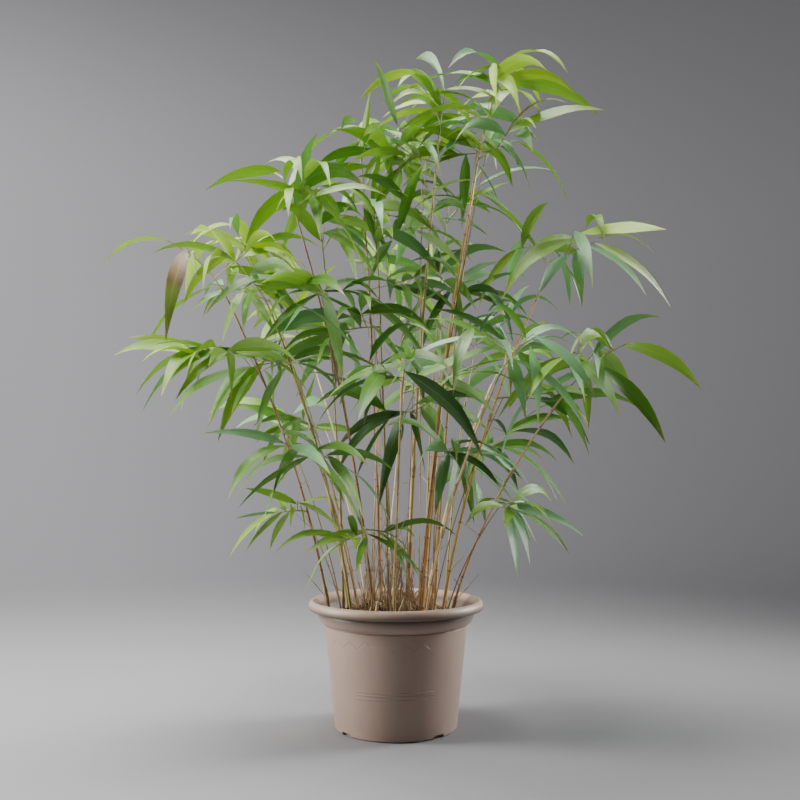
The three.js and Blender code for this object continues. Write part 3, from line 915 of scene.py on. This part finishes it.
def stem_start(number, share, direction):
    """Where a stem leaves its culm: just clear of the culm's tip or side."""
    along = midlines[number].direction(share)
    start = midlines[number].point(share)
    if share == 1:
        return start + along * SEAT_GAP
    slant = float(direction @ along)
    outward = direction - along * slant
    outward /= np.linalg.norm(outward)
    return start + outward * (culm_radius(number, share) + SEAT_GAP + STEM_RADIUS * abs(slant))


def branches_of(stem, length, leaf_length, draw):
    """A spray's stem and two twigs with their leaves' tries, in the order of the solids' rule."""
    branches = [(stem, leaf_tries(stem, STEM_LEAVES, leaf_length, draw))]
    for side, share in zip((1, -1), TWIG_SHARES):
        turn = side * draw.between(*TWIG_TURN)
        direction = turned(stem.direction(share), turn, draw.between(*TWIG_LIFT))
        twig_length = length * draw.between(*TWIG_SIZE)
        twig = sagging(stem.point(share), direction, twig_length, 0)
        branches.append((twig, leaf_tries(twig, TWIG_LEAVES, leaf_length, draw)))
    return branches


twig_rows = [(-0.02, 1), (0, 1)]
for joint in TWIG_JOINTS:
    for lag, swell in ((-0.025, 1), (0, 1.28), (0.02, 1)):
        twig_rows.append((joint + lag, tapered(1, TWIG_TAPER, joint) * swell))
twig_rod = rod(6, [*twig_rows, (1, TWIG_TAPER * 0.7)])
fine_rod = rod(5, [(-0.02, 1), (0.3, 0.9), (0.5, 1.15), (0.55, 0.8), (1, 0.5)])


def twig_along(template, midline, radius, root=TWIG_ROOT):
    """A twig along its midline, with its foot some way back inside the limb that bears it."""
    corners = template.corners * (radius, radius, 1.0)
    corners[corners[:, 2] < 0, 2] = -root / midline.length()
    return template, laid(corners, midline)


sprays = []
twigs = []
for number, (*_, end, sides) in enumerate(CULMS):
    for i, row in enumerate([(1, 0, 0, *end), *sides]):
        share, compass, rise, length, leaf_length, *sag = row
        direction = midlines[number].direction(1) if share == 1 else heading(compass, rise)
        start = stem_start(number, share, direction)
        stem = sagging(start, direction, length * MM, sag[0] if sag else STEM_SAG)
        name = f"foliage_{number + 1}_{'abc'[i]}"
        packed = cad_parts[name].data.vertices
        corners = KDTree(len(packed))
        for corner in packed:
            corners.insert(corner.co, corner.index)
        corners.balance()
        kept = []
        draw = Draws((number + 1) * 10 + i)
        for branch, leaves in branches_of(stem, length * MM, leaf_length * MM, draw):
            found = []
            for tries in leaves:
                for leaf in tries:
                    if corners.find(Vector(leaf[0].end))[2] < FOUND_WITHIN:
                        found.append(leaf)
                        break
            if branch is stem:
                twigs.append(twig_along(twig_rod, branch, STEM_RADIUS, STEM_ROOT))
            elif found:
                twigs.append(twig_along(twig_rod, branch, TWIG_RADIUS))
            if found or branch is stem:
                kept.append((branch, found))
        sprays.append((name, number, kept, leaf_length * MM))

# Leaves: long lance-shaped blades with a short stalk, a pale midrib and fine lengthwise veins.
# Sprays are yellow-green on top and outside and deep green within, partly real yellowing and
# partly painted light and shade. Many at the right are painted bluish, partly a blue bloom and
# partly a painted sheen, and two leaves have withered. Besides the solids' leaves, fine twigs bear
# a few more.
BLADE_STRIPS = 4
BLADE_ROWS = 9
BLADE_THICK = 0.35 * MM
BLADE_STATIONS = [0.0, 0.03, 0.09, 0.20, 0.33, 0.46, 0.60, 0.74, 0.87, 0.95, 1.0]
BLADE_WIDTHS = [0.05, 0.06, 0.52, 0.86, 1.00, 0.98, 0.84, 0.60, 0.31, 0.13, 0.01]
BLADE_HALF = (0.45, 0.57)
BLADE_FOLD = (0.1, 0.34)
BLADE_RIPPLE = (0.0, 0.09)
BLADE_TWIST = (-0.9, 0.9)
TIP_START = 0.5
TIP_DROOP = 0.7
# The blue in these greens is raised a little as a painted bluish sheen. The bluish kind is partly a
# blue bloom and partly a painted sheen.
LEAF_COLOURS = {
    "fresh": (0.39, 0.58, 0.08),
    "bright": (0.265, 0.47, 0.06),
    "mid": (0.135, 0.325, 0.03),
    "deep": (0.052, 0.17, 0.014),
    "bluish": (0.22, 0.45, 0.215),
    "dry": (0.23, 0.33, 0.045),
}
WITHERED_DARK = (0.11, 0.045, 0.018, 1)
WITHERED_PALE = (0.4, 0.2, 0.085, 1)
TIP_YELLOW = (0.44, 0.34, 0.1, 1)
LEAF_KINDS = ("deep", "mid", "bright", "fresh")
DRY_SPOTS = ((-0.419, -0.214, 0.766), (0.33, -0.149, 1.233))
DRY_WITHIN = 22 * MM
CROWN_FOOT = 0.3
CROWN_RISE = 1.05
CROWN_WAIST = (0.27, 0.4)
CROWN_HALF_WIDTH = 612 * MM
CROWN_HALF_DEPTH = 560 * MM
CROWN_BOTTOM = 292 * MM
FINE_TOP = 1310 * MM
FULL_ABOVE = 0.62
FINE_TWIG_SHARES = (0.35, 0.7)
FINE_TWIG_TURN = (20, 65)
FINE_TWIG_LIFT = (-25, 40)
FINE_TWIG_LENGTH = (28, 70)
FINE_TWIG_RADIUS = 0.85 * MM
FINE_LEAF_SPOTS = ((0.6, 1), (0.98, -0.4))
FINE_LEAF_TURN = (22, 60)
FINE_LEAF_LIFT = (-50, 45)
FINE_LEAF_SIZE = (0.55, 1)
FINE_LEAF_SLIMNESS = (0.13, 0.18)
FINE_LEAF_SAG = (0.4, 2.2)
FINE_LEAF_ROLL = (-60, 60)
blade_shape = bmesh.new()
bmesh.ops.create_grid(blade_shape, x_segments=BLADE_STRIPS, y_segments=BLADE_ROWS, size=1.0)
stand = Matrix.Translation((0, 0, 0.5)) @ Matrix.Diagonal((1, 1, 0.5, 1))
stand = stand @ Matrix.Rotation(math.pi / 2, 4, "X")
bmesh.ops.transform(blade_shape, matrix=stand, verts=blade_shape.verts)
upper = blade_shape.faces[:]
lower = bmesh.ops.duplicate(blade_shape, geom=blade_shape.verts[:] + blade_shape.edges[:] + upper)
for corner in [g for g in lower["geom"] if isinstance(g, bmesh.types.BMVert)]:
    if not corner.is_boundary:
        corner.co.y = -1.0
bmesh.ops.remove_doubles(blade_shape, verts=blade_shape.verts, dist=1e-4)
bmesh.ops.recalc_face_normals(blade_shape, faces=blade_shape.faces)
# Each corner face is cut from its corner, so that the upper and lower side share no triangle.
for corner in [v for v in blade_shape.verts if len(v.link_edges) == 2]:
    beside = {v for edge in corner.link_edges for v in edge.verts}
    for face in corner.link_faces[:]:
        inner = next(v for v in face.verts if v not in beside)
        bmesh.ops.connect_verts(blade_shape, verts=[corner, inner])
blade = Template(blade_shape)
blade_share = blade.corners[:, 2] ** 1.2
blade_across = blade.corners[:, 0]
blade_outline = np.interp(blade_share, BLADE_STATIONS, BLADE_WIDTHS)
blade_plan = np.stack([(blade_across + 1) / 2, blade_share], axis=1)


def blade_along(midline, width, roll, draw):
    """A leaf along its midline: slightly folded along the midrib, a little twisted and wavy, with
    a drooping tip."""
    half = blade_outline * width * draw.between(*BLADE_HALF)
    fold = draw.between(*BLADE_FOLD)
    ripple = draw.between(*BLADE_RIPPLE) * np.sin(blade_share * 17 + draw.between(0, 6))
    lift = np.abs(blade_across) * half * (fold + ripple * blade_across)
    above = lift + blade.corners[:, 1] * BLADE_THICK
    corners = np.stack([blade_across * half, above, blade_share], axis=1)
    places = laid(corners, midline, roll, draw.between(*BLADE_TWIST))
    drop = TIP_DROOP * draw() * midline.length()
    places[:, 2] -= drop * np.maximum(0, blade_share - TIP_START) ** 2
    return blade, places


def leaf_finish(kind):
    """Satin leaf skin that lets some light through, with a pale midrib and fine veins. A withered
    leaf has browned from its stalk to past its middle."""
    skin = Finish(f"{kind}_leaf", specular_ior_level=0.65)
    plan = skin.node("UVMap", {}, uv_map="blade")
    across, along = skin.part(plan, 0), skin.part(plan, 1)
    rib = (1 - abs(across - 0.5) * 22).clamped() * (1 - along * 0.7)
    veins = (across * 120).wave() * 0.5 + 0.5
    patches = skin.cloud(50 * MM)
    red, green, blue = LEAF_COLOURS[kind]
    shade = (red * 0.70, green * 0.78, blue * 0.8, 1)
    light = (red * 1.18, green * 1.12, blue * 1.1, 1)
    pale = (0.35 + red * 0.6, 0.50 + green * 0.5, 0.18 + blue * 0.6, 1)
    body = skin.mixed((patches * 0.65 + veins * 0.35).clamped(), shade, light)
    if kind == "dry":
        rust = skin.mixed((patches * 2.4 - 0.7).clamped(), WITHERED_DARK, WITHERED_PALE)
        body = skin.mixed(skin.between(along + patches * 0.3, 0.76, 0.60), body, rust)
    tip = skin.between(along + patches * 0.12, 0.86, 1.04)
    ripe = skin.mixed(tip * 0.75, body, TIP_YELLOW)
    skin.set(base_color=skin.mixed(rib * 0.55, ripe, pale), roughness=0.28 + patches * 0.14)
    skin.relief(veins * 0.4 + rib, 0.3 * MM)
    glow = (min(1, red * 1.9 + 0.02), min(1, green * 1.6), blue * 0.8, 1)
    through = skin.node("BsdfTranslucent", {"Color": glow})
    opaque = Wire(skin.tree, skin.shader.outputs[0])
    both = skin.node("MixShader", {0: 0.30, 1: opaque, 2: through})
    join(skin.tree, skin.tree.nodes["Material Output"].inputs["Surface"], both)
    return skin


def inside_crown(place):
    across = (place[0] / CROWN_HALF_WIDTH) ** 2 + (place[1] / CROWN_HALF_DEPTH) ** 2
    return across <= 0.9 and CROWN_BOTTOM <= place[2] <= FINE_TOP


def spray_kind(place, draw):
    """How pale and yellow a spray is, as a place in the list of leaf kinds: more on the outside and
    away from the crown's waist, and a little more on the left. This is partly real yellowing and
    partly painted light and shade. Deep green within is painted shade, and the paler sprays low down
    and on the left are painted light."""
    height = (place[2] - CROWN_FOOT) / CROWN_RISE
    outward = math.hypot(place[0], place[1] / 2) / 0.45
    left = 0.5 - place[0] / 0.8
    upper = max(0, height - CROWN_WAIST[1]) / 0.55
    lower = max(0, CROWN_WAIST[0] - height) / CROWN_WAIST[0]
    score = 0.52 * outward + 0.42 * upper + 0.38 * lower + 0.10 * left
    return 4.0 * (score + draw.between(-0.10, 0.10)) - 0.15


leaf_shapes = {kind: [] for kind in LEAF_COLOURS}


def grow_leaf(midline, width, roll, kind, bluish, draw):
    chosen = LEAF_KINDS[max(0, min(3, round(kind + draw.between(-0.6, 0.6))))]
    if draw() < bluish:
        chosen = "bluish"
    if any(np.linalg.norm(midline.end - spot) < DRY_WITHIN for spot in DRY_SPOTS):
        chosen = "dry"
    leaf_shapes[chosen].append(blade_along(midline, width, roll, draw))


def fine_twig(branch, share, leaf_length, fullness, draw):
    """A fine twig on a stem or twig, and those of its two leaves that stay in the crown."""
    side = 1 if draw() < 0.5 else -1
    turn = side * draw.between(*FINE_TWIG_TURN)
    direction = turned(branch.direction(share), turn, draw.between(*FINE_TWIG_LIFT))
    length = draw.between(*FINE_TWIG_LENGTH) * MM
    fine = sagging(branch.point(share), direction, length, 0.2)
    borne = []
    for spot, way in FINE_LEAF_SPOTS:
        turn = side * way * draw.between(*FINE_LEAF_TURN)
        direction = turned(fine.direction(spot), turn, draw.between(*FINE_LEAF_LIFT))
        size = leaf_length * draw.between(*FINE_LEAF_SIZE)
        leaf = sagging(fine.point(spot), direction, size, draw.between(*FINE_LEAF_SAG))
        width = size * draw.between(*FINE_LEAF_SLIMNESS)
        roll = math.radians(draw.between(*FINE_LEAF_ROLL))
        if inside_crown(leaf.end) and draw() < fullness:
            borne.append((leaf, width, roll))
    return fine, borne


for i, (_, _, branches, leaf_length) in enumerate(sprays):
    draw = Draws(9000 + i)
    middle = branches[0][0].point(0.6)
    # Painted light and shade: a spray's leaf kind follows where it stands in the crown.
    kind = spray_kind(middle, draw)
    fullness = max(0.12, min(0.5, 0.26 * kind)) if middle[2] > FULL_ABOVE else 0.08
    # Painted sheen: sprays right of the middle get bluish leaves far more often. This is partly a
    # blue bloom and partly the pale bluish sheen of light painted on.
    bluish = 0.08 if middle[0] < 0.1 else 0.40
    for branch, leaves in branches:
        for leaf in leaves:
            grow_leaf(*leaf, kind, bluish, draw)
        for share in FINE_TWIG_SHARES:
            fine, borne = fine_twig(branch, share, leaf_length, fullness, draw)
            if borne:
                twigs.append(twig_along(fine_rod, fine, FINE_TWIG_RADIUS))
            for leaf in borne:
                grow_leaf(*leaf, kind, bluish, draw)

# Thin canes: younger and older shoots, no thicker than a straw, that rise beside the main canes to
# the sprays and end among the leaves.
THIN_FOOT = (2.2, 3.8)
THIN_TIP_RADIUS = 0.9 * MM
THIN_SIDES = 7
THIN_KINDS = ("russet", "olive", "straw")
THIN_AWAY = (9, 26)
THIN_REACH = 130 * MM
draw = Draws(733)
for i, (name, number, branches, _) in enumerate(sprays):
    culm_foot = [n * MM for n in CULMS[number][0]]
    for _ in range(0 if name.endswith("a") else 1 + i % 2):
        foot = away_from(culm_foot, draw.turn(), draw.between(*THIN_AWAY) * MM)
        if math.hypot(*foot) > THIN_REACH:
            continue
        tip = branches[0][0].point(draw.between(0.0, 0.25))
        tip += heading(draw.between(0, 360), 0) * 4 * MM
        kind = THIN_KINDS[int(draw() * 3)]
        thick = draw.between(*THIN_FOOT)
        add_cane(kind, cane_midline(foot, tip), thick, THIN_TIP_RADIUS, THIN_SIDES, draw)
for kind, colours in CANE_COLOURS.items():
    skin = cane_finish(kind, *colours)
    nodes = [f"culm_{i + 1}" for i, own in enumerate(CANE_KINDS) if own == kind]
    shapes = [made[:2] for made in canes[kind]]
    rings = [made[2] for made in canes[kind]]
    joined(f"canes_{kind}", shapes, skin, "cane", *nodes, rings=rings)

# Stubs and old shoots: canes cut off just above the soil, and a thicket of thin dead shoots that
# stands round the clump's middle, a little left of the thick canes.
OLD_COLOURS = ((0.8, 0.66, 0.4, 1), (0.46, 0.3, 0.14, 1))
DEAD_COLOURS = ((0.46, 0.32, 0.16, 1), (0.12, 0.065, 0.03, 1))
SHOOT_JOINTS = (0.2, 0.42, 0.62, 0.8)
stub_rod = rod(10, [(0, 1), (0.42, 1), (0.46, 1.14), (0.5, 1), (1, 1)])
shoot_rows = [(0, 1)]
for joint in SHOOT_JOINTS:
    for lag, swell in ((-0.02, 1), (0, 1.35), (0.02, 0.98)):
        shoot_rows.append((joint + lag, swell - joint * 0.4))
shoot_rod = rod(6, [*shoot_rows, (1, 0.4)])


def thicket(name, template, skin, count, middle, reach, rise, length, thick):
    """A piece of straight rods that rise out of the soil near a place."""
    rods = []
    for _ in range(count):
        x, y = away_from(middle, draw.turn(), reach * math.sqrt(draw()))
        start = np.array([x, y, soil_height(x, y) - 8 * MM])
        way = heading(draw.between(0, 360), draw.between(*rise))
        line = sagging(start, way, draw.between(*length) * MM, draw.between(-0.05, 0.15))
        rods.append(twig_along(template, line, draw.between(*thick) / 2 * MM))
    joined(name, rods, skin, "cane")


old_cane = cane_finish("old", *OLD_COLOURS)
thicket(
    "cane_stubs", stub_rod, old_cane, count=18, middle=(0, 0), reach=90 * MM, rise=(60, 86),
    length=(16, 44), thick=(3, 6.5),
)
dead_cane = cane_finish("dead", *DEAD_COLOURS)
thicket(
    "dead_shoots", shoot_rod, dead_cane, count=64, middle=(-16 * MM, -30 * MM), reach=58 * MM,
    rise=(66, 88), length=(50, 190), thick=(1.1, 2.4),
)

# Twigs: bare dead ones low on the canes, and the sprays' own stems and twigs, whose green wood
# ripens to straw. With their leaves these stand for the foliage nodes.
DRY_TWIG_COUNT = 46
DRY_TWIG_SHARES = (0.08, 0.5)
DRY_TWIG_RISE = (20, 70)
DRY_TWIG_LENGTH = (20, 75)
DRY_TWIG_SAG = (-0.3, 0.5)
DRY_TWIG_RADIUS = 0.8 * MM
WOOD_GREEN = (0.2, 0.24, 0.05, 1)
WOOD_STRAW = (0.42, 0.34, 0.12, 1)
dry_twigs = []
for _ in range(DRY_TWIG_COUNT):
    line = midlines[int(draw() * len(CULMS))]
    share = draw.between(*DRY_TWIG_SHARES)
    way = heading(draw.between(0, 360), draw.between(*DRY_TWIG_RISE))
    length = draw.between(*DRY_TWIG_LENGTH) * MM
    twig = sagging(line.point(share), way, length, draw.between(*DRY_TWIG_SAG))
    dry_twigs.append(twig_along(fine_rod, twig, DRY_TWIG_RADIUS))
joined("dry_twigs", dry_twigs, husk, "cane")

green_wood = Finish("green_twigs", specular_ior_level=0.5)
wood_patches = green_wood.cloud(30 * MM, 2.0)
green_wood.set(
    base_color=green_wood.mixed(wood_patches, WOOD_GREEN, WOOD_STRAW),
    roughness=0.40 + wood_patches * 0.15,
)
joined("twigs", twigs, green_wood, "leaves", *[name for name, *_ in sprays])
for kind, shapes in leaf_shapes.items():
    plans = [blade_plan] * len(shapes)
    joined(f"leaves_{kind}", shapes, leaf_finish(kind), "leaves", plans=plans)
